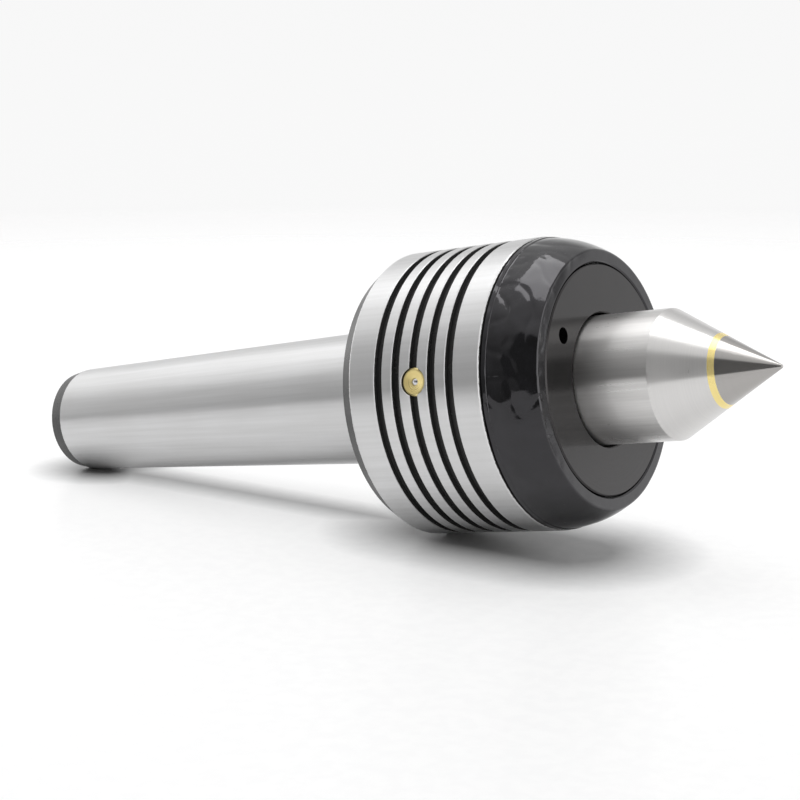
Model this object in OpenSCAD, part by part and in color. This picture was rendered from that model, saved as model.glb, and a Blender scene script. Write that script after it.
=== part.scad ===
// Live center with a Morse No. 4 shank, a ground head, a 60 degree carbide point and three bearings.
// The centre line is the X axis. X = 0 is the gauge plane of the taper and +X points to the work.

/* [Taper shank] */
// Diameter of the taper at the gauge plane
gauge_d = 31.267; // [31.2:0.001:31.3]
// Length of taper that widens the diameter by 1 mm
taper_ratio = 19.254; // [19.2:0.001:19.3]
// Length of the shank behind the gauge plane
shank_length = 102.5; // [95:0.5:103]
// Length of the relieved tail at the small end
tail_length = 3.7; // [2:0.1:5]

/* [Head] */
// Outer diameter of the head
head_d = 64; // [63:0.5:70]
// Gap from the gauge plane to the back face of the head
head_back = 6.5; // [6:0.5:7]
// Where the full head diameter starts
head_start = 10; // [8.5:0.5:12]
// Length of the full head diameter
head_length = 33.1; // [32:0.1:34]
// Number of grip grooves
groove_count = 5; // [3:2:5]
// Distance between grip grooves
groove_pitch = 4.56; // [4.2:0.02:4.8]
// Width of a grip groove
groove_width = 1.95; // [1.5:0.05:2.2]
// Depth of a grip groove
groove_depth = 1.3; // [0.8:0.1:1.5]

/* [Nose] */
// Length of the nose cap
nose_length = 11.8; // [11.5:0.1:12.5]
// Diameter of the crown where it leaves the rim
crown_d = 63.6; // [63:0.1:63.8]
// Radius of the crown's curve along the axis
crown_curve = 24; // [22:0.5:30]
// Radius of the lip at the front
lip_radius = 0.8; // [0.5:0.1:1.5]
// Diameter of the spigot that the nose cap sits on
spigot_d = 56; // [55.6:0.1:56]

/* [Retaining nut] */
// Diameter of the nut's bore in the nose cap
nut_bore_d = 50.4; // [50.2:0.1:50.8]
// Outer diameter of the nut
nut_d = 49.9; // [49.6:0.1:49.9]
// Circle that the spanner holes lie on
spanner_pcd = 39; // [36:0.5:41]
// Diameter of a spanner hole
spanner_hole_d = 3.5; // [3:0.1:4]
// Depth of a spanner hole
spanner_hole_depth = 2.4; // [1.5:0.1:2.6]
// Angle of the first spanner hole round the centre line
spanner_angle = 143.7; // [0:0.1:180]

/* [Spindle] */
// Diameter of the neck
neck_d = 27.8; // [27.4:0.1:28.2]
// Full angle of the point
point_angle = 60; // [58:1:62]
// Place of the sharp corner of the point
apex = 95.8; // [94:0.1:98]
// Radius that blunts the point
tip_radius = 0.5; // [0.3:0.05:0.8]
// Diameter of the carbide insert
carbide_d = 14.2; // [12:0.1:15]
// Thickness of the braze round the insert
braze_gap = 0.72; // [0.3:0.02:0.9]

/* [Oiler] */
// Angle of the oiler round the centre line
oiler_angle = 168.9; // [0:0.1:180]
// Diameter of the oiler
oiler_d = 6; // [5.5:0.1:6.5]
// Diameter of the oiler's ball
oiler_ball_d = 2; // [1.9:0.05:2]

/* [Hidden] */
$fn = 96;

// Head, nose and shank
head_r = head_d / 2;
head_end = head_start + head_length;
head_middle = head_start + head_length / 2;
nose_front = head_end + nose_length;
back_face_r = 29.86;
edge_chamfer = 0.3;
groove_chamfer = 0.12;
relief_depth = 0.4;
relief_width = 2.5;
tail_end_r = 12.34;
tail_start = tail_length - shank_length;
centre_hole_r = 5;
centre_pilot_r = 1.6;
centre_pilot_length = 4;

// Spigot and nose cap
spigot_end = 51;
rim_r = 31.8;
rim_width = 1.3;
rim_chamfer = 0.45;
rim_fillet = 0.3;
o_ring_section_r = 0.89;
o_ring_r = 27.1;
o_ring_x = 47.2;
o_ring_groove_width = 2.4;
o_ring_groove_r = 26.2;

// Front ball bearing, 25 x 47 x 12
seat_r = 12.5;
front_back = 32.9;
front_width = 12;
front_front = front_back + front_width;
front_outer_r = 23.5;
front_outer_land_r = 20.4;
front_inner_land_r = 15.6;
front_pitch_r = 18;
front_ball_count = 12;
front_cage_width = 8.6;
front_cage_in_r = 16.4;
front_cage_out_r = 19.6;
ball_r = 3.175;
race_r = ball_r + 0.08;
pocket_r = ball_r + 0.1;

// Thrust ball bearing, 25 x 42 x 11
thrust_back = 11;
thrust_width = 11;
thrust_front = thrust_back + thrust_width;
thrust_middle = thrust_back + thrust_width / 2;
thrust_washer_width = 3.2;
thrust_outer_r = 21;
thrust_shaft_washer_r = 20.8;
thrust_hole_r = 13;
thrust_pitch_r = 16.9;
thrust_ball_count = 12;
thrust_cage_width = 2.4;
thrust_cage_r = 20.5;

// Snap ring and spacer
snap_width = 1.2;
snap_back = front_back - snap_width;
snap_groove_r = 11.95;
snap_r = 14.6;
snap_gap = 3.4;
snap_lug_angle = 14;
snap_lug_r = 1.9;
snap_lug_pitch_r = 15;
snap_lug_hole_r = 0.9;
spacer_r = 15.6;

// Needle bearing, 15 x 21 x 16
journal_r = 7.5;
journal_end = -12;
needle_back = -9;
needle_width = 16;
needle_front = needle_back + needle_width;
needle_middle = needle_back + needle_width / 2;
needle_cup_r = 10.5;
needle_cup_wall = 0.8;
needle_lip_r = 8;
needle_r = 1;
needle_pitch_r = 8.6;
needle_length = 12;
needle_count = 20;
needle_cage_length = 13.8;
needle_cage_in_r = 7.95;
needle_cage_out_r = 9.25;
needle_slot_r = 1.04;
blind_end = -14;
blind_r = 8.5;

// Retaining nut and shaft seal
thread_r = 25;
thread_start = 44.4;
nut_back = front_front;
nut_flange = 3;
nut_flange_back = nose_front - nut_flange;
nut_hole_r = 14.4;
seal_r = 19;
seal_back = 45.4;
seal_wall = 0.8;
seal_flange_r = 16.4;
seal_lip_r = neck_d / 2 + 0.02;
garter_r = 15.85;
garter_x = 47.3;
garter_section_r = 0.53;

// Spindle
neck_r = neck_d / 2;
journal_step = 12.5;
shaft_chamfer = 0.6;
snap_groove_play = 0.1;
corner_r = 0.5;
half_point = point_angle / 2;
cone_start = apex - neck_r / tan(half_point);
carbide_r = carbide_d / 2;
braze_r = carbide_r + braze_gap;
carbide_back = 72.3;
braze_floor = 0.3;
carbide_cone = apex - carbide_r / tan(half_point);
braze_cone = apex - braze_r / tan(half_point);
cone_end = braze_cone + 2;

// Oiler, measured inward from its outer face
oiler_face_r = 31.5;
oiler_r = oiler_d / 2;
oiler_length = 5;
oiler_bevel = 0.35;
oiler_dish_r = 2.4;
oiler_mouth_r = 0.8;
oiler_bore_r = 1.06;
oiler_seat_depth = 0.5;
oiler_bore_depth = 0.87;
oiler_floor = 0.5;
oiler_drip_r = 0.6;
oiler_ball_r = oiler_ball_d / 2;
oiler_ball_depth = 1.12;
oil_way_r = 1;
coil_r = 0.76;
coil_wire_r = 0.12;
coil_turns = 4;
coil_start = 1.94;
coil_end = oiler_length - oiler_floor - coil_wire_r - 0.02;

// Radius of the taper at a place along the axis
function taper_r(x) = (gauge_d + x / taper_ratio) / 2;

// Points on an arc in a profile, as [x, r], with the angle measured from the X axis
function arc(centre, radius, from, to, steps) =
    [for (i = [0:steps]) let (a = from + (to - from) * i / steps)
        centre + radius * [cos(a), sin(a)]];

// Solid turned about the X axis from a profile of [x, r] points
module turned(profile) {
    rotate([0, 90, 0]) rotate_extrude() polygon([for (p = profile) [p[1], p[0]]]);
}

// Ring with a square section
module ring(x_from, x_to, r_in, r_out) {
    turned([[x_from, r_in], [x_to, r_in], [x_to, r_out], [x_from, r_out]]);
}

// Ring with a round section
module torus(x, r, section_r) {
    translate([x, 0, 0]) rotate([0, 90, 0]) rotate_extrude() translate([r, 0]) circle(section_r, $fn = 48);
}

// Places its children at a radius and an angle round the centre line, with Y pointing outward
module around(angle, x, r) {
    rotate([angle, 0, 0]) translate([x, r, 0]) children();
}

// Cylinder along the X axis
module x_cylinder(length, r) {
    rotate([0, 90, 0]) cylinder(h = length, r = r, center = true);
}

// Cylinder or cone that runs inward along -Y
module inward(depth_from, depth_to, r_from, r_to) {
    translate([0, -depth_from, 0]) rotate([90, 0, 0])
        cylinder(h = depth_to - depth_from, r1 = r_from, r2 = r_to);
}

// Points of a grip groove with broken edges
function groove(middle) = let (half = groove_width / 2, bottom = head_r - groove_depth)
    [[middle - half - groove_chamfer, head_r], [middle - half, head_r - groove_chamfer],
        [middle - half, bottom], [middle + half, bottom],
        [middle + half, head_r - groove_chamfer], [middle + half + groove_chamfer, head_r]];

module housing_outside() {
    relief_r = taper_r(head_back) - relief_depth;
    grooves = [for (i = [0:groove_count - 1])
        each groove(head_middle + (i - (groove_count - 1) / 2) * groove_pitch)];
    turned(concat(
        [[-shank_length, 0], [-shank_length, tail_end_r], [tail_start, taper_r(tail_start)],
            [head_back - relief_width, taper_r(head_back - relief_width)],
            [head_back - relief_width, relief_r], [head_back, relief_r],
            [head_back, back_face_r], [head_start, head_r]],
        grooves,
        [[head_end - edge_chamfer, head_r], [head_end, head_r - edge_chamfer],
            [head_end, spigot_d / 2], [spigot_end, spigot_d / 2], [spigot_end, 0]]));
}

module housing_inside() {
    turned([[blind_end, 0], [blind_end, blind_r], [needle_back, blind_r], [needle_back, needle_cup_r],
        [thrust_back, needle_cup_r], [thrust_back, thrust_outer_r], [front_back, thrust_outer_r],
        [front_back, front_outer_r], [thread_start, front_outer_r], [thread_start, thread_r],
        [spigot_end + 1, thread_r], [spigot_end + 1, 0]]);
}

module tail_centre_hole() {
    cone_depth = (centre_hole_r - centre_pilot_r) / tan(30);
    turned([[-shank_length - 1, 0], [-shank_length - 1, centre_hole_r], [-shank_length, centre_hole_r],
        [cone_depth - shank_length, centre_pilot_r],
        [cone_depth - shank_length + centre_pilot_length, centre_pilot_r],
        [cone_depth - shank_length + centre_pilot_length, 0]]);
}

module housing() {
    color("silver") difference() {
        housing_outside();
        housing_inside();
        tail_centre_hole();
        ring(o_ring_x - o_ring_groove_width / 2, o_ring_x + o_ring_groove_width / 2,
            o_ring_groove_r, spigot_d / 2 + 1);
        around(oiler_angle, head_middle, head_r) {
            inward(-1, head_r - oiler_face_r + oiler_length, oiler_r, oiler_r);
            inward(-0.1, groove_chamfer, oiler_r + groove_chamfer + 0.1, oiler_r);
            inward(0, head_r - thrust_outer_r + 1, oil_way_r, oil_way_r);
        }
    }
}

module nose_cap() {
    crown = [41.8, crown_d / 2 - crown_curve];
    lip_x = nose_front - lip_radius;
    lip_reach = crown_curve - lip_radius;
    lip_angle = acos((lip_x - crown[0]) / lip_reach);
    lip = [lip_x, crown[1] + lip_reach * sin(lip_angle)];
    rim_end = head_end + rim_width;
    crown_angle = acos((rim_end + rim_fillet - crown[0]) / crown_curve);
    crown_start_r = crown[1] + crown_curve * sin(crown_angle);
    rim_angle = asin(1 - (rim_r - crown_start_r) / rim_fillet);
    bore_r = nut_bore_d / 2;
    color([0.09, 0.09, 0.1]) turned(concat(
        [[head_end, spigot_d / 2], [head_end, rim_r - rim_chamfer], [head_end + rim_chamfer, rim_r]],
        arc([rim_end, rim_r - rim_fillet], rim_fillet, 90, rim_angle, 5),
        arc(crown, crown_curve, crown_angle, lip_angle, 24),
        arc(lip, lip_radius, lip_angle, 0, 8),
        [[nose_front, bore_r + edge_chamfer], [nose_front - edge_chamfer, bore_r],
            [spigot_end, bore_r], [spigot_end, spigot_d / 2]]));
}

module nose_o_ring() {
    color([0.05, 0.05, 0.05]) torus(o_ring_x, o_ring_r, o_ring_section_r);
}

module retaining_nut() {
    nut_r = nut_d / 2;
    color([0.2, 0.2, 0.22]) difference() {
        turned([[nut_back, seal_r], [nut_back, nut_r], [nose_front - edge_chamfer, nut_r],
            [nose_front, nut_r - edge_chamfer], [nose_front, nut_hole_r + edge_chamfer],
            [nose_front - edge_chamfer, nut_hole_r], [nut_flange_back, nut_hole_r],
            [nut_flange_back, seal_r]]);
        for (half_turn = [0, 180])
            around(spanner_angle + half_turn, nose_front, spanner_pcd / 2)
                x_cylinder(2 * spanner_hole_depth, spanner_hole_d / 2);
    }
}

module seal_case() {
    color("gray") turned([[seal_back, seal_r - seal_wall], [seal_back, seal_r], [nut_flange_back, seal_r],
        [nut_flange_back, seal_flange_r], [nut_flange_back - seal_wall, seal_flange_r],
        [nut_flange_back - seal_wall, seal_r - seal_wall]]);
}

module seal_lip() {
    front = nut_flange_back;
    inner = front - seal_wall;
    flex_front = front - 1.5;
    flex_back = garter_x + 1;
    head_back_x = garter_x - 0.9;
    head_top_r = garter_r - garter_section_r - 0.02;
    color([0.12, 0.1, 0.1]) turned([[front, seal_flange_r], [front, seal_flange_r - 1.3],
        [flex_front, seal_flange_r - 1.3], [flex_back + 0.1, neck_r + 0.8],
        [garter_x + 0.2, seal_lip_r], [head_back_x, neck_r + 0.9], [head_back_x, head_top_r],
        [flex_back, head_top_r], [flex_front - 0.2, seal_flange_r - 0.5], [inner, seal_flange_r + 0.5],
        [inner, seal_flange_r]]);
}

module seal_garter_spring() {
    color("silver") torus(garter_x, garter_r, garter_section_r);
}

module spindle() {
    groove_back = snap_back - snap_groove_play;
    corner_reach = corner_r * tan(half_point / 2);
    color("gainsboro") difference() {
        turned(concat(
            [[journal_end, 0], [journal_end, journal_r - shaft_chamfer],
                [journal_end + shaft_chamfer, journal_r], [journal_step, journal_r],
                [journal_step, seat_r - shaft_chamfer], [journal_step + shaft_chamfer, seat_r],
                [groove_back, seat_r], [groove_back, snap_groove_r], [front_back, snap_groove_r],
                [front_back, seat_r], [front_front, seat_r], [front_front, neck_r]],
            arc([cone_start - corner_reach, neck_r - corner_r], corner_r, 90, 90 - half_point, 4),
            [[braze_cone, braze_r], [braze_cone, 0]]));
        turned([[carbide_back - braze_floor, 0], [carbide_back - braze_floor, braze_r],
            [cone_end, braze_r], [cone_end, 0]]);
    }
}

module carbide_tip() {
    tip_centre = [apex - tip_radius / sin(half_point), 0];
    color([0.45, 0.45, 0.47]) turned(concat(
        [[carbide_back, 0], [carbide_back, carbide_r], [carbide_cone, carbide_r]],
        arc(tip_centre, tip_radius, 90 - half_point, 0, 6)));
}

module braze_ring() {
    color("goldenrod") turned([[carbide_back - braze_floor, 0], [carbide_back - braze_floor, braze_r],
        [braze_cone, braze_r], [carbide_cone, carbide_r], [carbide_back, carbide_r], [carbide_back, 0]]);
}

module front_race(r_in, r_out) {
    color("lightgray") difference() {
        ring(front_back, front_front, r_in, r_out);
        torus(front_back + front_width / 2, front_pitch_r, race_r);
    }
}

module front_outer_ring() {
    front_race(front_outer_land_r, front_outer_r);
}

module front_inner_ring() {
    front_race(seat_r, front_inner_land_r);
}

module front_cage() {
    middle = front_back + front_width / 2;
    color("peru") difference() {
        ring(middle - front_cage_width / 2, middle + front_cage_width / 2, front_cage_in_r, front_cage_out_r);
        for (i = [1:front_ball_count])
            around(i * 360 / front_ball_count, middle, front_pitch_r) inward(-4, 4, pocket_r, pocket_r);
    }
}

module front_balls() {
    middle = front_back + front_width / 2;
    color("white") for (i = [1:front_ball_count])
        around(i * 360 / front_ball_count, middle, front_pitch_r) sphere(ball_r, $fn = 32);
}

module snap_ring() {
    middle = snap_back + snap_width / 2;
    color("dimgray") difference() {
        union() {
            ring(snap_back, front_back, snap_groove_r, snap_r);
            for (side = [-1, 1])
                around(side * snap_lug_angle, middle, snap_lug_pitch_r) x_cylinder(snap_width, snap_lug_r);
        }
        ring(snap_back - 1, front_back + 1, 1, snap_groove_r);
        translate([snap_back - 1, 0, -snap_gap / 2]) cube([snap_width + 2, snap_r + 5, snap_gap]);
        for (side = [-1, 1])
            around(side * snap_lug_angle, middle, snap_lug_pitch_r)
                x_cylinder(snap_width + 2, snap_lug_hole_r);
    }
}

module spacer() {
    color("darkgray") ring(thrust_front, snap_back, seat_r, spacer_r);
}

module thrust_washer(x_from, r_in, r_out) {
    color("lightgray") difference() {
        ring(x_from, x_from + thrust_washer_width, r_in, r_out);
        torus(thrust_middle, thrust_pitch_r, race_r);
    }
}

module thrust_shaft_washer() {
    thrust_washer(thrust_front - thrust_washer_width, seat_r, thrust_shaft_washer_r);
}

module thrust_housing_washer() {
    thrust_washer(thrust_back, thrust_hole_r, thrust_outer_r);
}

module thrust_cage() {
    color("peru") difference() {
        ring(thrust_middle - thrust_cage_width / 2, thrust_middle + thrust_cage_width / 2,
            thrust_hole_r, thrust_cage_r);
        for (i = [1:thrust_ball_count])
            around(i * 360 / thrust_ball_count, thrust_middle, thrust_pitch_r) x_cylinder(6, pocket_r);
    }
}

module thrust_balls() {
    color("white") for (i = [1:thrust_ball_count])
        around(i * 360 / thrust_ball_count, thrust_middle, thrust_pitch_r) sphere(ball_r, $fn = 32);
}

module needle_cup() {
    inside_r = needle_cup_r - needle_cup_wall;
    color("silver") turned([[needle_back, needle_lip_r], [needle_back, needle_cup_r],
        [needle_front, needle_cup_r], [needle_front, needle_lip_r],
        [needle_front - needle_cup_wall, needle_lip_r], [needle_front - needle_cup_wall, inside_r],
        [needle_back + needle_cup_wall, inside_r], [needle_back + needle_cup_wall, needle_lip_r]]);
}

module needle_cage() {
    color("peru") difference() {
        ring(needle_middle - needle_cage_length / 2, needle_middle + needle_cage_length / 2,
            needle_cage_in_r, needle_cage_out_r);
        for (i = [1:needle_count])
            around(i * 360 / needle_count, needle_middle, needle_pitch_r)
                x_cylinder(needle_length + 0.2, needle_slot_r);
    }
}

module needle_rollers() {
    color("white") for (i = [1:needle_count])
        around(i * 360 / needle_count, needle_middle, needle_pitch_r) x_cylinder(needle_length, needle_r);
}

module oiler_body() {
    inner_depth = oiler_length - oiler_floor;
    dish_depth = oiler_seat_depth - 0.15;
    color("gold") around(oiler_angle, head_middle, oiler_face_r) difference() {
        union() {
            inward(0, oiler_bevel, oiler_r - oiler_bevel, oiler_r);
            inward(oiler_bevel, oiler_length, oiler_r, oiler_r);
        }
        inward(-0.01, dish_depth, oiler_dish_r, oiler_mouth_r);
        inward(dish_depth - 0.1, oiler_seat_depth, oiler_mouth_r, oiler_mouth_r);
        inward(oiler_seat_depth, oiler_bore_depth, oiler_mouth_r, oiler_bore_r);
        inward(oiler_bore_depth, inner_depth, oiler_bore_r, oiler_bore_r);
        inward(inner_depth - 1, oiler_length + 1, oiler_drip_r, oiler_drip_r);
    }
}

module oiler_ball() {
    color("white") around(oiler_angle, head_middle, oiler_face_r - oiler_ball_depth)
        sphere(oiler_ball_r, $fn = 32);
}

module oiler_spring() {
    sides = 8;
    steps = coil_turns * 16;
    ring_points = [for (i = [0:steps], k = [0:sides - 1])
        let (turn = 360 * i / 16, side = 360 * k / sides,
            depth = coil_start + (coil_end - coil_start) * i / steps,
            r = coil_r + coil_wire_r * cos(side))
        [r * cos(turn), -depth - coil_wire_r * sin(side), r * sin(turn)]];
    walls = [for (i = [0:steps - 1], k = [0:sides - 1])
        let (a = i * sides + k, b = i * sides + (k + 1) % sides)
        [a, b, b + sides, a + sides]];
    first_cap = [for (k = [sides - 1:-1:0]) k];
    last_cap = [for (k = [0:sides - 1]) steps * sides + k];
    color("gray") around(oiler_angle, head_middle, oiler_face_r)
        polyhedron(ring_points, concat([first_cap], walls, [last_cap]), convexity = 6);
}

housing();
nose_cap();
nose_o_ring();
retaining_nut();
seal_case();
seal_lip();
seal_garter_spring();
spindle();
carbide_tip();
braze_ring();
front_outer_ring();
front_inner_ring();
front_cage();
front_balls();
snap_ring();
spacer();
thrust_shaft_washer();
thrust_housing_washer();
thrust_cage();
thrust_balls();
needle_cup();
needle_cage();
needle_rollers();
oiler_body();
oiler_ball();
oiler_spring();
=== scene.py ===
"""Looks of a live center: materials, floor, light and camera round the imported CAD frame."""

import math
from types import SimpleNamespace

import bpy
from mathutils import Matrix, Vector, noise


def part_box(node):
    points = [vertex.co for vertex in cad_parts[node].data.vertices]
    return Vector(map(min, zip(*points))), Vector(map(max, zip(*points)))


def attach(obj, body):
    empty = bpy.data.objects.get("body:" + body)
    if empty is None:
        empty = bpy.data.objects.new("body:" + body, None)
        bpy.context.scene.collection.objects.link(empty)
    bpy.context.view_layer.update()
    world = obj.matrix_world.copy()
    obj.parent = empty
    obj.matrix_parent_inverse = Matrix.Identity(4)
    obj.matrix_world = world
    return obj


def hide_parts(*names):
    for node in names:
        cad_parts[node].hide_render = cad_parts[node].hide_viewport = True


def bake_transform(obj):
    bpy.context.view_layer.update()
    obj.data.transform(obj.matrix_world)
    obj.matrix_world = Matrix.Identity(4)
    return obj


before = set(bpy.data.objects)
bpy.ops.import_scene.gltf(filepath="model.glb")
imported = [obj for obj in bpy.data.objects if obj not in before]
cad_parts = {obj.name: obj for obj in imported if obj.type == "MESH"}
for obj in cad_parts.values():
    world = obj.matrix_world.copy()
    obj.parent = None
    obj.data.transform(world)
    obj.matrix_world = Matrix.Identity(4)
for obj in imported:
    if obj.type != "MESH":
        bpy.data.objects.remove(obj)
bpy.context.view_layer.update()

MM = 0.001

# ---------------------------------------------------------------- places in the frame, in metres
BACK_FACE_X = 6.5 * MM
HEAD_START_X = 10.0 * MM
TAIL_START_X = -98.8 * MM
CONE_START_X = 72.0 * MM
HEAD_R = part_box("housing")[1].z
TAIL_R = 13.07 * MM
oiler_low, oiler_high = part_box("oiler_body")
oiler_middle = (oiler_low + oiler_high) / 2

# The object lies on the head's back edge and on the tail's lower edge.
rest_head = Vector((HEAD_START_X, 0, -HEAD_R))
rest_tail = Vector((TAIL_START_X, 0, -TAIL_R))
floor_tilt = math.atan2(rest_tail.z - rest_head.z, rest_head.x - rest_tail.x)
floor_normal = Vector((math.sin(floor_tilt), 0, math.cos(floor_tilt)))
floor_turn = Matrix.Rotation(floor_tilt, 4, "Y")


def add_to_scene(name, data):
    """Makes an object from a mesh, light or camera and links it to the scene."""
    obj = bpy.data.objects.new(name, data)
    bpy.context.scene.collection.objects.link(obj)
    return obj


def clamped(value):
    """The value, held between 0 and 1."""
    return min(max(value, 0.0), 1.0)


# ---------------------------------------------------------------- material graph
# Ranges that most of one noise, and of the sum of two, falls in.
NOISE_MIDDLE = (0.3, 0.7)
SUM_MIDDLE = (0.6, 1.4)


class Graph:
    """The nodes of a material or of the world, with short calls that make a node and link it."""

    def __init__(self, owner):
        owner.use_nodes = True
        self.owner = owner
        self.tree = owner.node_tree

    def put(self, node, socket, value):
        """Links an output to the socket, or sets the socket to a plain value."""
        target = node.inputs[socket]
        if isinstance(value, bpy.types.NodeSocket):
            self.tree.links.new(value, target)
        elif hasattr(value, "__len__") and target.type == "RGBA" and len(value) == 3:
            target.default_value = (*value, 1)
        else:
            target.default_value = value

    def node(self, kind, inputs, output=0, **settings):
        """Adds a node, fills its inputs and returns one of its outputs."""
        made = self.tree.nodes.new("ShaderNode" + kind)
        for key, value in settings.items():
            setattr(made, key, value)
        for socket, value in inputs.items():
            self.put(made, socket, value)
        return made.outputs[output]

    def math(self, operation, *values, clamp=False):
        """Adds a math node on plain numbers."""
        return self.node("Math", dict(enumerate(values)), operation=operation, use_clamp=clamp)

    def parts(self, vector):
        """The X, Y and Z of a vector."""
        split = self.tree.nodes.new("ShaderNodeSeparateXYZ")
        self.put(split, 0, vector)
        return tuple(split.outputs)

    def place(self, sideways=None):
        """A point on the object in millimetres, with its radius and its place along a turned profile.

        A sideways piece is turned round the Y axis through the given X and Z instead.
        """
        coords = self.node("TexCoord", {}, "Object")
        point = self.node("VectorMath", {0: coords, "Scale": 1 / MM}, operation="SCALE")
        x, y, z = self.parts(point)
        if sideways:
            axis_x, axis_z = sideways
            x, y, z = y, self.math("SUBTRACT", x, axis_x), self.math("SUBTRACT", z, axis_z)
        y_squared = self.math("MULTIPLY", y, y)
        z_squared = self.math("MULTIPLY", z, z)
        radius = self.math("SQRT", self.math("ADD", y_squared, z_squared))
        along = self.math("SUBTRACT", x, radius)
        return SimpleNamespace(point=point, x=x, y=y, z=z, radius=radius, along=along)

    def vector(self, x, y, z):
        """The vector with these parts."""
        return self.node("CombineXYZ", {0: x, 1: y, 2: z})

    def noise(self, vector, scale=1.0, detail=4.0, roughness=0.5):
        """Smooth noise about 0.5, finer with a higher scale."""
        inputs = {"Vector": vector, "Scale": scale, "Detail": detail, "Roughness": roughness}
        return self.node("TexNoise", inputs)

    def stretched_noise(self, first, at, length, width, detail):
        """Noise that changes every length mm along its first coordinate and every width mm across."""
        vector = self.vector(self.math("DIVIDE", first, length), self.math("DIVIDE", at.y, width),
                             self.math("DIVIDE", at.z, width))
        return self.noise(vector, 1.0, detail)

    def streaks(self, at, width, length=60.0):
        """Lengthwise streaks along the X axis, each about width mm wide."""
        return self.stretched_noise(at.x, at, length, width, 4.0)

    def lines(self, at, pitch, run):
        """Machining lines round the X axis, about pitch mm apart along the profile and run mm long."""
        return self.stretched_noise(at.along, at, pitch, run, 3.0)

    def ground_round(self):
        """Tangent of a surface ground round the X axis."""
        return self.node("Tangent", {}, direction_type="RADIAL", axis="X")

    def span(self, value, low, high, out_low=0.0, out_high=1.0):
        """Maps low..high of a value to out_low..out_high, and holds it there outside."""
        return self.node("MapRange", {"Value": value, "From Min": low, "From Max": high,
                                      "To Min": out_low, "To Max": out_high})

    def mix(self, factor, a, b):
        """Mixes two colours."""
        made = self.tree.nodes.new("ShaderNodeMix")
        made.data_type = "RGBA"
        for index, value in ((0, factor), (6, a), (7, b)):
            self.put(made, index, value)
        return made.outputs[2]

    def blend(self, factor, a, b):
        """Mixes two plain numbers."""
        return self.node("Mix", {0: factor, 2: a, 3: b}, data_type="FLOAT")

    def bump(self, height, depth_mm):
        """Normal of a surface that rises and falls with the height, by depth_mm in all."""
        return self.node("Bump", {"Height": height, "Distance": depth_mm * MM, "Strength": 1.0})

    def surface(self, **sockets):
        """Sets or links sockets of the material's shader and returns the material."""
        shader = self.tree.nodes["Principled BSDF"]
        for socket, value in sockets.items():
            self.put(shader, socket.replace("_", " "), value)
        return self.owner


def material_graph(name, **sockets):
    """Graph of a new material with these values on its shader."""
    g = Graph(bpy.data.materials.new(name))
    g.surface(**sockets)
    return g


# ---------------------------------------------------------------- materials
# Oxide starts OXIDE_SKIN mm under the ground surface, with an edge that is uneven by OXIDE_EDGE mm.
OXIDE_SKIN = 0.2
OXIDE_EDGE = 0.05
# The shaft's streaks turn into the cone's rings within CONE_BLEND mm of the cone's start.
CONE_BLEND = 0.5
FINE_PER_BROAD = 7
# Ground metal smears its highlights along the axis.
GROUND_BLUR = {"Anisotropic": 0.85, "Anisotropic_Rotation": 0.25}


def ground_housing():
    """Ground steel, with black oxide in the grooves, at the back of the head and on the tail."""
    g = material_graph("ground_housing", **GROUND_BLUR)
    at = g.place()
    fine = g.lines(at, pitch=0.35, run=18.0)
    cloud = g.noise(at.point, scale=0.06, detail=5.0)
    streaks = g.streaks(at, width=0.9)
    edge = g.span(g.noise(at.point, scale=1.2, detail=3.0), *NOISE_MIDDLE, -OXIDE_EDGE, OXIDE_EDGE)
    below_skin = g.math("LESS_THAN", g.math("ADD", at.radius, edge), HEAD_R / MM - OXIDE_SKIN)
    in_head = g.math("GREATER_THAN", at.x, BACK_FACE_X / MM - OXIDE_SKIN)
    in_tail = g.math("LESS_THAN", g.math("ADD", at.x, edge), TAIL_START_X / MM)
    black = g.math("ADD", g.math("MULTIPLY", below_skin, in_head), in_tail, clamp=True)

    steel = g.mix(g.span(streaks, *NOISE_MIDDLE), (0.685, 0.685, 0.69), (0.615, 0.615, 0.615))
    steel = g.mix(g.span(cloud, 0.35, 0.75, 0.0, 0.5), steel, (0.625, 0.62, 0.615))
    oxide = g.mix(g.span(fine, 0.35, 0.7), (0.018, 0.018, 0.018), (0.038, 0.037, 0.036))
    steel_rough = g.span(g.math("ADD", fine, cloud), *SUM_MIDDLE, 0.31, 0.38)
    oxide_rough = g.span(cloud, *NOISE_MIDDLE, 0.2, 0.32)
    height = g.math("ADD", g.math("MULTIPLY", fine, 0.6), streaks)
    return g.surface(Base_Color=g.mix(black, steel, oxide),
                     Metallic=g.math("SUBTRACT", 1.0, black),
                     Roughness=g.blend(black, steel_rough, oxide_rough),
                     Normal=g.bump(height, depth_mm=0.004),
                     Tangent=g.ground_round())


def gloss_nose():
    """Black oxide under an oil film that mirrors the room, with a few smears and specks in it."""
    g = material_graph("gloss_nose", Specular_IOR_Level=0.6, Specular_Tint=(0.97, 0.95, 1.0, 1.0))
    point = g.place().point
    dents = g.noise(point, scale=0.35, detail=3.0, roughness=0.5)
    smear = g.noise(point, scale=0.3, detail=5.0, roughness=0.6)
    specks = g.noise(point, scale=2.5, detail=2.0, roughness=0.5)
    film_rough = g.span(smear, 0.35, 0.75, 0.05, 0.14)
    speck_rough = g.span(specks, 0.62, 0.75, 0.0, 0.2)
    colour = g.mix(g.span(smear, 0.35, 0.7), (0.002, 0.002, 0.002), (0.006, 0.006, 0.007))
    return g.surface(Base_Color=colour,
                     Roughness=g.math("ADD", film_rough, speck_rough),
                     Normal=g.bump(dents, depth_mm=0.03))


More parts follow.
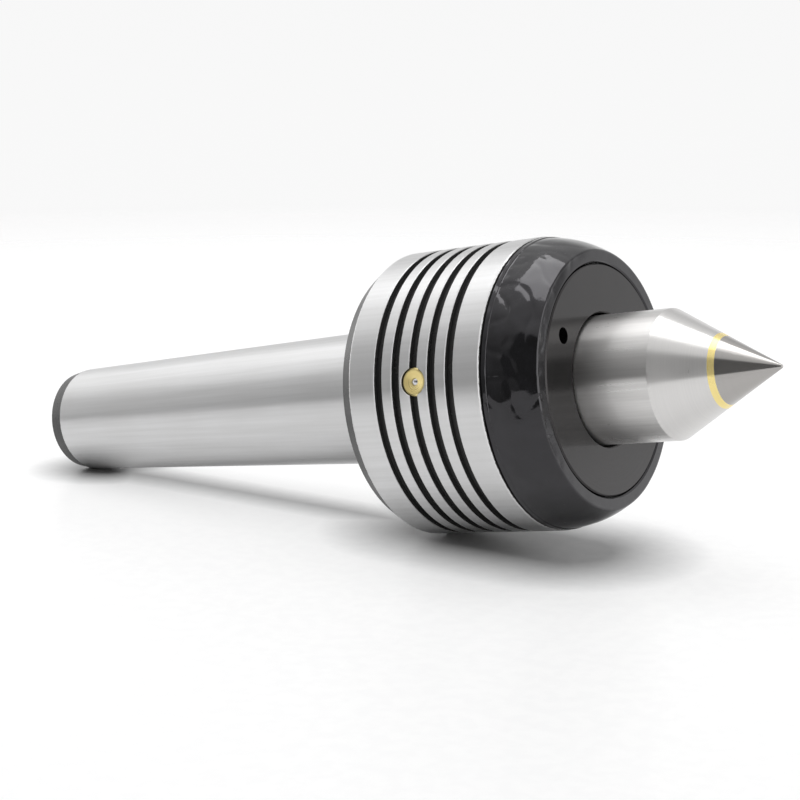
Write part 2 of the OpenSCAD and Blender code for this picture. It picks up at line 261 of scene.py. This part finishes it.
def dark_nut():
    """Satin black oxide over a faced surface with fine rings."""
    g = material_graph("dark_nut", Specular_Tint=(1.0, 0.96, 0.97, 1.0))
    at = g.place()
    rings = g.lines(at, pitch=0.4, run=25.0)
    cloud = g.noise(at.point, scale=0.15, detail=5.0, roughness=0.6)
    colour = g.mix(g.span(cloud, *NOISE_MIDDLE), (0.002, 0.002, 0.002), (0.006, 0.0055, 0.0055))
    return g.surface(Base_Color=colour,
                     Roughness=g.span(g.math("ADD", rings, cloud), *SUM_MIDDLE, 0.09, 0.2),
                     Normal=g.bump(rings, depth_mm=0.0015))


def ground_metal(name, light, dark, smooth, rough, plateau=0.0, metallic=1.0):
    """Ground metal with a blur along the axis and a share of polished plateau.

    The shaft has lengthwise streaks, and the cone has fine rings.
    """
    g = material_graph(name, Metallic=metallic, Coat_Weight=plateau, Coat_IOR=2.6, Coat_Roughness=0.06,
                       **GROUND_BLUR)
    at = g.place()
    rings = g.lines(at, pitch=0.25, run=22.0)
    streaks = g.streaks(at, width=0.7, length=30.0)
    cloud = g.noise(at.point, scale=0.12, detail=5.0)
    cone_start = CONE_START_X / MM
    on_cone = g.span(at.x, cone_start - CONE_BLEND, cone_start + CONE_BLEND)
    tone = g.blend(on_cone, streaks, g.span(rings, 0.2, 0.8, 0.42, 0.58))
    height = g.math("MULTIPLY", tone, g.span(on_cone, 0.0, 1.0, 1.0, 0.4))
    return g.surface(Base_Color=g.mix(g.span(tone, *NOISE_MIDDLE), light, dark),
                     Roughness=g.span(g.math("ADD", tone, cloud), *SUM_MIDDLE, smooth, rough),
                     Normal=g.bump(height, depth_mm=0.004),
                     Tangent=g.ground_round())


def turned_metal(name, light, dark, smooth, rough, pitch=0.3, depth=0.003, metallic=1.0, sideways=None):
    """Bare metal with machining lines round its axis and a faint cloudy film."""
    g = material_graph(name, Metallic=metallic)
    at = g.place(sideways)
    fine = g.lines(at, pitch, run=22.0)
    broad = g.lines(at, pitch * FINE_PER_BROAD, run=30.0)
    cloud = g.noise(at.point, scale=0.12, detail=5.0)
    return g.surface(Base_Color=g.mix(g.span(broad, *NOISE_MIDDLE), dark, light),
                     Roughness=g.span(g.math("ADD", fine, cloud), *SUM_MIDDLE, smooth, rough),
                     Normal=g.bump(fine, depth))


def rubber(name):
    """Black rubber with a fine grain and a pale bloom."""
    g = material_graph(name, Specular_IOR_Level=0.3)
    point = g.place().point
    grain = g.noise(point, scale=3.0, detail=4.0)
    bloom = g.noise(point, scale=0.3, detail=4.0)
    colour = g.mix(g.span(bloom, 0.4, 0.75), (0.015, 0.014, 0.013), (0.04, 0.038, 0.036))
    return g.surface(Base_Color=colour,
                     Roughness=g.span(grain, *NOISE_MIDDLE, 0.5, 0.75),
                     Normal=g.bump(grain, depth_mm=0.02))


ground = ground_housing()
oiled_black = gloss_nose()
bearing = turned_metal("bearing_steel", (0.72, 0.72, 0.74), (0.6, 0.6, 0.62), smooth=0.08, rough=0.18,
                       pitch=0.25, depth=0.001)
cage = turned_metal("cage_brass", (0.72, 0.55, 0.28), (0.6, 0.44, 0.2), smooth=0.25, rough=0.4)
spring = turned_metal("spring_steel", (0.42, 0.42, 0.43), (0.3, 0.3, 0.31), smooth=0.25, rough=0.4)
brass = turned_metal("brass", (0.92, 0.78, 0.36), (0.8, 0.64, 0.26), smooth=0.24, rough=0.36,
                     metallic=0.55, sideways=(oiler_middle.x / MM, oiler_middle.z / MM))
braze = ground_metal("braze", (0.95, 0.8, 0.36), (0.86, 0.69, 0.26), smooth=0.24, rough=0.3, metallic=0.8)
spindle_steel = ground_metal("spindle_steel", (0.7, 0.69, 0.68), (0.6, 0.59, 0.58), smooth=0.26, rough=0.33,
                             plateau=0.15)
carbide = ground_metal("carbide", (0.44, 0.427, 0.413), (0.39, 0.378, 0.365), smooth=0.12, rough=0.18)
seal_rubber = rubber("seal_rubber")
looks = {
    "housing": ground,
    "nose_cap": oiled_black,
    "retaining_nut": dark_nut(),
    "spindle": spindle_steel,
    "carbide_tip": carbide,
    "braze_ring": braze,
    "oiler_body": brass,
    "front_cage": cage,
    "thrust_cage": cage,
    "needle_cage": spring,
    "seal_case": spring,
    "seal_garter_spring": spring,
    "snap_ring": spring,
    "oiler_spring": spring,
    "seal_lip": seal_rubber,
    "nose_o_ring": seal_rubber,
}


def paint_nodes():
    """Puts its material on every node of the frame: bearing steel where looks names no other."""
    for name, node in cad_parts.items():
        node.data.materials.clear()
        node.data.materials.append(looks.get(name, bearing))


paint_nodes()


# ---------------------------------------------------------------- nose cap with an uneven coat
# Sizes of the cap are in millimetres, like the CAD's.
nose_low, nose_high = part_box("nose_cap")
NOSE_BACK = nose_low.x / MM
NOSE_FRONT = nose_high.x / MM
RIM_R = nose_high.z / MM
RIM_CHAMFER = 0.45
RIM_WIDTH = 1.3
RIM_ROUND = 0.3
CROWN_CURVE = 24.0
CROWN_CENTRE = (41.8, RIM_R - CROWN_CURVE)
LIP_ROUND = 0.8
BORE_R = 25.2
BORE_CHAMFER = 0.3
SPIGOT_R = 28.0
SPIGOT_END = 51.0

CHAMFER_STEPS = 3
RIM_STEPS = 5
RIM_ROUND_STEPS = 6
CROWN_STEPS = 56
LIP_STEPS = 12
FACE_STEPS = 10
TURN_STEPS = 336
SHARP_EDGE = math.radians(28)

# The coat lies COAT_DEPTH under the cap's outline at most. It is uneven on the oiler's side and fades out
# over the first COAT_RISE and the last COAT_FALL points of the coated outline.
COAT_DEPTH = 0.6
COAT_LEVEL = 0.35
COAT_RISE = 10
COAT_FALL = 8
# The uneven side is centred on the angle COAT_SIDE. It starts where the cosine of the angle from there is
# SIDE_START, and is fully uneven where the cosine is SIDE_FADE more than that.
COAT_SIDE = math.radians(158)
SIDE_START = 0.35
SIDE_FADE = 0.45
QUIET_SHARE = 0.12
CREASE_WIDTH = 0.25
WAVE_SCALE, WAVE_SHARE, WAVE_SHIFT = 0.17, 0.5, Vector((3.1, 0, 0))
RIPPLE_SCALE, RIPPLE_SHARE, RIPPLE_SHIFT = 0.4, 0.15, Vector((0, 7.7, 0))
CREASE_SCALE, CREASE_SHARE, CREASE_SHIFT = 0.13, 0.24, Vector((0, 0, 5.3))


def arc(centre, radius, start, end, steps):
    """Points of X and radius on an arc, with angles measured from the X axis."""
    angles = [start + (end - start) * i / steps for i in range(steps + 1)]
    return [(centre[0] + radius * math.cos(a), centre[1] + radius * math.sin(a)) for a in angles]


def line(start, end, steps):
    """Points on a straight line, without its end."""
    return [(start[0] + (end[0] - start[0]) * i / steps, start[1] + (end[1] - start[1]) * i / steps)
            for i in range(steps)]


def nose_outline():
    """The coated outside from the land to the front face, then the bare inside."""
    rim_start = (NOSE_BACK + RIM_CHAMFER, RIM_R)
    rim_end = NOSE_BACK + RIM_WIDTH
    crown_start = math.acos((rim_end + RIM_ROUND - CROWN_CENTRE[0]) / CROWN_CURVE)
    crown_start_r = CROWN_CENTRE[1] + CROWN_CURVE * math.sin(crown_start)
    rim_round_end = math.asin(1 - (RIM_R - crown_start_r) / RIM_ROUND)
    lip_reach = CROWN_CURVE - LIP_ROUND
    lip_x = NOSE_FRONT - LIP_ROUND
    lip_turn = math.acos((lip_x - CROWN_CENTRE[0]) / lip_reach)
    lip_centre = (lip_x, CROWN_CENTRE[1] + lip_reach * math.sin(lip_turn))
    bore_edge = (NOSE_FRONT, BORE_R + BORE_CHAMFER)
    coated = line((NOSE_BACK, RIM_R - RIM_CHAMFER), rim_start, CHAMFER_STEPS)
    coated += line(rim_start, (rim_end, RIM_R), RIM_STEPS)
    coated += arc((rim_end, RIM_R - RIM_ROUND), RIM_ROUND, math.pi / 2, rim_round_end, RIM_ROUND_STEPS)
    coated += arc(CROWN_CENTRE, CROWN_CURVE, crown_start, lip_turn, CROWN_STEPS)
    coated += arc(lip_centre, LIP_ROUND, lip_turn, 0, LIP_STEPS)[1:-1]
    coated += line((NOSE_FRONT, lip_centre[1]), bore_edge, FACE_STEPS)
    bare = [bore_edge, (NOSE_FRONT - BORE_CHAMFER, BORE_R), (SPIGOT_END, BORE_R), (SPIGOT_END, SPIGOT_R),
            (NOSE_BACK, SPIGOT_R)]
    return coated, bare


def coat_gap(point, angle, share):
    """How far the coat lies under the cap's full outline, in mm."""
    turn = math.cos(angle - COAT_SIDE)
    uneven = QUIET_SHARE + (1 - QUIET_SHARE) * clamped((turn - SIDE_START) / SIDE_FADE)
    wave = noise.noise(point * WAVE_SCALE + WAVE_SHIFT)
    ripple = noise.noise(point * RIPPLE_SCALE + RIPPLE_SHIFT)
    crease = max(1 - abs(noise.noise(point * CREASE_SCALE + CREASE_SHIFT)) / CREASE_WIDTH, 0.0)
    lift = COAT_LEVEL + WAVE_SHARE * wave + RIPPLE_SHARE * ripple + CREASE_SHARE * crease * crease
    return COAT_DEPTH * share * uneven * clamped(lift)


def outline_normals(outline):
    """Unit vectors across a closed outline, one for each point."""
    normals = []
    for i, before in enumerate(outline[-1:] + outline[:-1]):
        after = outline[(i + 1) % len(outline)]
        normals.append(Vector((before[1] - after[1], after[0] - before[0])).normalized())
    return normals


def nose_points(coated, bare):
    """The turned points of the cap, one outline after the other, each sunk by the coat's gap."""
    outline = coated + bare
    last = len(coated) - 1
    shares = [min(i / COAT_RISE, (last - i) / COAT_FALL, 1.0) for i in range(len(coated))]
    shares += [0.0] * len(bare)
    normals = outline_normals(outline)
    points = []
    for k in range(TURN_STEPS):
        angle = 2 * math.pi * k / TURN_STEPS
        for (x, r), across, share in zip(outline, normals, shares):
            spot = Vector((x, r * math.cos(angle), r * math.sin(angle)))
            gap = coat_gap(spot, angle, share) if share > 0 else 0.0
            away = r - gap * across.y
            points.append(Vector((x - gap * across.x, away * math.cos(angle), away * math.sin(angle))) * MM)
    return points


def turned_faces(size):
    """Four-sided faces between each outline of size points and the next one round."""
    faces = []
    for k in range(TURN_STEPS):
        here = k * size
        beyond = (k + 1) % TURN_STEPS * size
        for i in range(size):
            after = (i + 1) % size
            faces.append((here + i, here + after, beyond + after, beyond + i))
    return faces


def nose_piece():
    """The nose cap as one closed turned mesh whose coat is uneven by parts of a millimetre."""
    coated, bare = nose_outline()
    mesh = bpy.data.meshes.new("nose_coat")
    mesh.from_pydata(nose_points(coated, bare), [], turned_faces(len(coated) + len(bare)))
    mesh.update()
    mesh.shade_smooth()
    mesh.set_sharp_from_angle(angle=SHARP_EDGE)
    mesh.materials.append(oiled_black)
    obj = add_to_scene("nose_coat", mesh)
    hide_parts("nose_cap")
    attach(obj, "housing")


nose_piece()


def coil_piece():
    """The oiler's coil as its own piece, a copy of the CAD spring's mesh."""
    spring_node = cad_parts["oiler_spring"]
    obj = add_to_scene("oiler_coil", spring_node.data.copy())
    obj.matrix_world = spring_node.matrix_world
    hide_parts("oiler_spring")
    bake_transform(obj)


coil_piece()


# ---------------------------------------------------------------- floor
# The floor is in metres. It gives off a little light, except near the places where the object touches it.
FLOOR_R = 0.9
FLOOR_SIDES = 96
FLOOR_FADE_START = 0.35
FLOOR_FADE_END = 0.85
HEAD_SHADOW = 32 * MM
NOSE_REACH = 30 * MM
TAIL_SHADOW = 20 * MM
UNDER_SHADOW = 10 * MM
UNDER_CLEAR = 0.48
GLOW_START = 0.3
GLOW = 0.54


def floor_glow(g, coords):
    """Strength of the floor's own light: none where the object touches it, and less under the shank."""
    x, y, z = g.parts(coords)
    beside_head = g.math("SUBTRACT", x, g.span(x, 0.0, NOSE_REACH, 0.0, NOSE_REACH))
    from_head = g.node("VectorMath", {0: g.vector(beside_head, y, 0.0)}, "Value", operation="LENGTH")
    reach = (rest_tail - rest_head).length
    from_tail = g.node("VectorMath", {0: coords, 1: (-reach, 0, 0)}, "Value", operation="DISTANCE")
    beside = g.span(g.math("ABSOLUTE", y), 0.0, UNDER_SHADOW, UNDER_CLEAR, 1.0)
    past_nose = g.math("SUBTRACT", x, NOSE_REACH)
    past_tail = g.math("SUBTRACT", g.math("MULTIPLY", x, -1.0), reach)
    beyond = g.math("DIVIDE", g.math("MAXIMUM", past_nose, past_tail), UNDER_SHADOW)
    clear_of_head = g.math("DIVIDE", from_head, HEAD_SHADOW)
    clear_of_tail = g.math("DIVIDE", from_tail, TAIL_SHADOW)
    clear = g.math("MINIMUM", clear_of_head, clear_of_tail)
    clear = g.math("MINIMUM", clear, g.math("MAXIMUM", beside, beyond))
    return g.span(clear, GLOW_START, 1.0, 0.0, GLOW)


def floor():
    """White table that fades out away from the object, so that low views aren't blocked."""
    angles = [2 * math.pi * i / FLOOR_SIDES for i in range(FLOOR_SIDES)]
    corners = [(FLOOR_R * math.cos(a), FLOOR_R * math.sin(a), 0) for a in angles]
    mesh = bpy.data.meshes.new("floor")
    mesh.from_pydata(corners, [], [list(range(FLOOR_SIDES))])
    obj = add_to_scene("floor", mesh)
    obj.matrix_world = Matrix.Translation(rest_head) @ floor_turn
    g = material_graph("floor_paint", Roughness=0.35, Specular_IOR_Level=0.25, Emission_Color=(1, 1, 1))
    coords = g.node("TexCoord", {}, "Object")
    distance = g.node("VectorMath", {0: coords}, "Value", operation="LENGTH")
    grain = g.noise(coords, scale=300.0, detail=3.0)
    g.surface(Base_Color=g.mix(g.span(grain, 0.4, 0.6), (0.35, 0.35, 0.352), (0.37, 0.37, 0.37)),
              Emission_Strength=floor_glow(g, coords),
              Alpha=g.span(distance, FLOOR_FADE_START, FLOOR_FADE_END, 1.0, 0.0))
    mesh.materials.append(g.owner)


floor()


# ---------------------------------------------------------------- light
BACKDROP_WAY = Vector((-0.59, 0.81, 0.0)).normalized()
FLAG_WAY = Vector((0.47, -0.82, 0.31)).normalized()
FRONT_WALL = 0.25
BACK_WALL = 0.95
UPPER_BACK_WALL = 0.5
CEILING = 0.8
CEILING_RISE = 2.2
FLAG = 0.15
RIGHT_WALL = 2.2
LEFT_WALL = 1.7
SEEN_LOW = 0.955
SEEN_HIGH = 0.91

# Where one part of the room turns into the next, as dot products with its way.
FLAG_EDGE = (0.86, 0.91)
RIGHT_EDGE = (0.75, 0.85)
LEFT_EDGE = (0.75, 0.9)
UPPER_EDGE = (0.2, 0.5)
BACKDROP_EDGE = (-0.25, 0.35)
HORIZON_EDGE = (-0.03, 0.0)
SEEN_EDGE = (-0.2, 0.3)


def softbox(name, way, distance, size, radiance):
    """Rectangular light of a given brightness, facing the head, with its first side along the X axis."""
    data = bpy.data.lights.new(name, "AREA")
    data.shape = "RECTANGLE"
    data.size, data.size_y = size
    data.energy = math.pi * size[0] * size[1] * radiance
    obj = add_to_scene(name, data)
    away = Vector(way).normalized()
    across = (Vector((1, 0, 0)) - away * away.x).normalized()
    turn = Matrix((across, away.cross(across), away)).transposed().to_4x4()
    obj.matrix_world = Matrix.Translation(away * distance) @ turn


def studio():
    """A room that is dim in front, darkest round the camera, bright at the sides and pale behind."""
    world = bpy.data.worlds.new("studio")
    bpy.context.scene.world = world
    g = Graph(world)
    way = g.node("TexCoord", {}, "Generated")

    def toward(direction):
        return g.node("VectorMath", {0: way, 1: direction}, "Value", operation="DOT_PRODUCT")

    up = toward(floor_normal)
    rise = g.math("POWER", g.math("MAXIMUM", up, 0.0), CEILING_RISE)
    ceiling = g.math("MULTIPLY", rise, CEILING)
    front = g.math("ADD", FRONT_WALL, ceiling)
    front = g.blend(g.span(toward(FLAG_WAY), *FLAG_EDGE), front, FLAG)
    front = g.blend(g.span(toward((1, 0, 0)), *RIGHT_EDGE), front, RIGHT_WALL)
    front = g.blend(g.span(toward((-1, 0, 0)), *LEFT_EDGE), front, LEFT_WALL)
    back = g.math("ADD", g.span(up, *UPPER_EDGE, BACK_WALL, UPPER_BACK_WALL), ceiling)
    behind = g.span(toward(BACKDROP_WAY), *BACKDROP_EDGE)
    room = g.blend(behind, front, g.math("MAXIMUM", front, back))
    room = g.blend(g.span(up, *HORIZON_EDGE), BACK_WALL, room)
    seen = g.node("LightPath", {}, "Is Camera Ray")
    room = g.blend(seen, room, g.span(up, *SEEN_EDGE, SEEN_LOW, SEEN_HIGH))
    g.put(g.tree.nodes["Background"], "Color", g.node("CombineColor", {0: room, 1: room, 2: room}))


studio()
softbox("overhead", way=(0.125, 0.16, 0.97), distance=0.8, size=(0.54, 0.6), radiance=2.3)
softbox("overhead_left", way=(-0.62, -0.02, 0.78), distance=0.8, size=(0.5, 0.72), radiance=0.42)
bpy.context.scene.view_settings.view_transform = "Standard"


# ---------------------------------------------------------------- camera
CAMERA_AIM = Vector((3.3, -4.8, -0.5)) * MM
CAMERA_PLACE = Vector((250.3, -342.9, 38.0)) * MM
CAMERA_LENS = 82.96


def camera():
    """Camera at the photo's angle, level with the tilted floor."""
    data = bpy.data.cameras.new("camera")
    data.lens = CAMERA_LENS
    obj = add_to_scene("camera", data)
    back = (CAMERA_PLACE - CAMERA_AIM).normalized()
    right = floor_normal.cross(back).normalized()
    up = back.cross(right)
    turn = Matrix((right, up, back)).transposed().to_4x4()
    obj.matrix_world = Matrix.Translation(CAMERA_PLACE) @ turn
    bpy.context.scene.camera = obj


camera()
